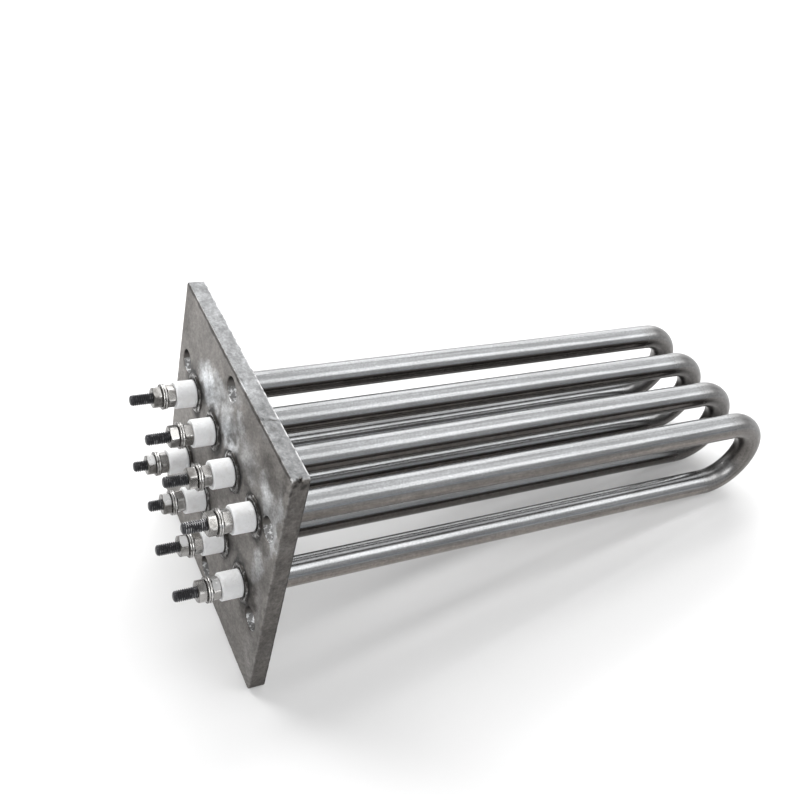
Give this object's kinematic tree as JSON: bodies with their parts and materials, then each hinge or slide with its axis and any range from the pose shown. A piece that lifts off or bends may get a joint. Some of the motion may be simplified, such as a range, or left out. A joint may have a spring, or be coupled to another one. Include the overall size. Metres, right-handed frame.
{
  "type": "tubular heating element",
  "caption": "Square steel flange plate carrying parallel hairpin heater tubes, with ceramic-insulated threaded terminals on its outer face and plain bolt holes round the edge.",
  "frame": {"origin": "centre of the flange plate's seating face, the side that the tubes leave", "axes": "+X along the tubes towards their bends, +Y across the stack of tubes, +Z from the lower legs to the upper legs"},
  "size_m": [0.2501, 0.1, 0.1],
  "materials": {
    "plate_steel": "rolled steel, heat stained and rubbed",
    "sheath_steel": "drawn stainless tube, satin",
    "magnesia": "pressed magnesia powder",
    "coil_wire": "oxidised resistance wire",
    "pin_steel": "blackened threaded steel",
    "ceramic": "unglazed white ceramic",
    "weld_metal": "tinted weld bead",
    "fastener_steel": "dull plated steel"
  },
  "bodies": {
    "root": {"flange_plate": "plate_steel", "heater_sheath_1": "sheath_steel", "heater_sheath_2": "sheath_steel", "heater_sheath_3": "sheath_steel", "heater_sheath_4": "sheath_steel", "magnesia_fill_1": "magnesia", "magnesia_fill_2": "magnesia", "magnesia_fill_3": "magnesia", "magnesia_fill_4": "magnesia", "heating_coil_1": "coil_wire", "heating_coil_2": "coil_wire", "heating_coil_3": "coil_wire", "heating_coil_4": "coil_wire", "terminal_pin_lower_1": "pin_steel", "terminal_pin_lower_2": "pin_steel", "terminal_pin_lower_3": "pin_steel", "terminal_pin_lower_4": "pin_steel", "terminal_pin_upper_1": "pin_steel", "terminal_pin_upper_2": "pin_steel", "terminal_pin_upper_3": "pin_steel", "terminal_pin_upper_4": "pin_steel", "ceramic_bush_lower_1": "ceramic", "ceramic_bush_lower_2": "ceramic", "ceramic_bush_lower_3": "ceramic", "ceramic_bush_lower_4": "ceramic", "ceramic_bush_upper_1": "ceramic", "ceramic_bush_upper_2": "ceramic", "ceramic_bush_upper_3": "ceramic", "ceramic_bush_upper_4": "ceramic", "weld_beads": "weld_metal", "inner_nuts": "fastener_steel", "inner_washers": "fastener_steel", "outer_washers": "fastener_steel", "outer_nuts": "fastener_steel"}
  },
  "joints": []
}
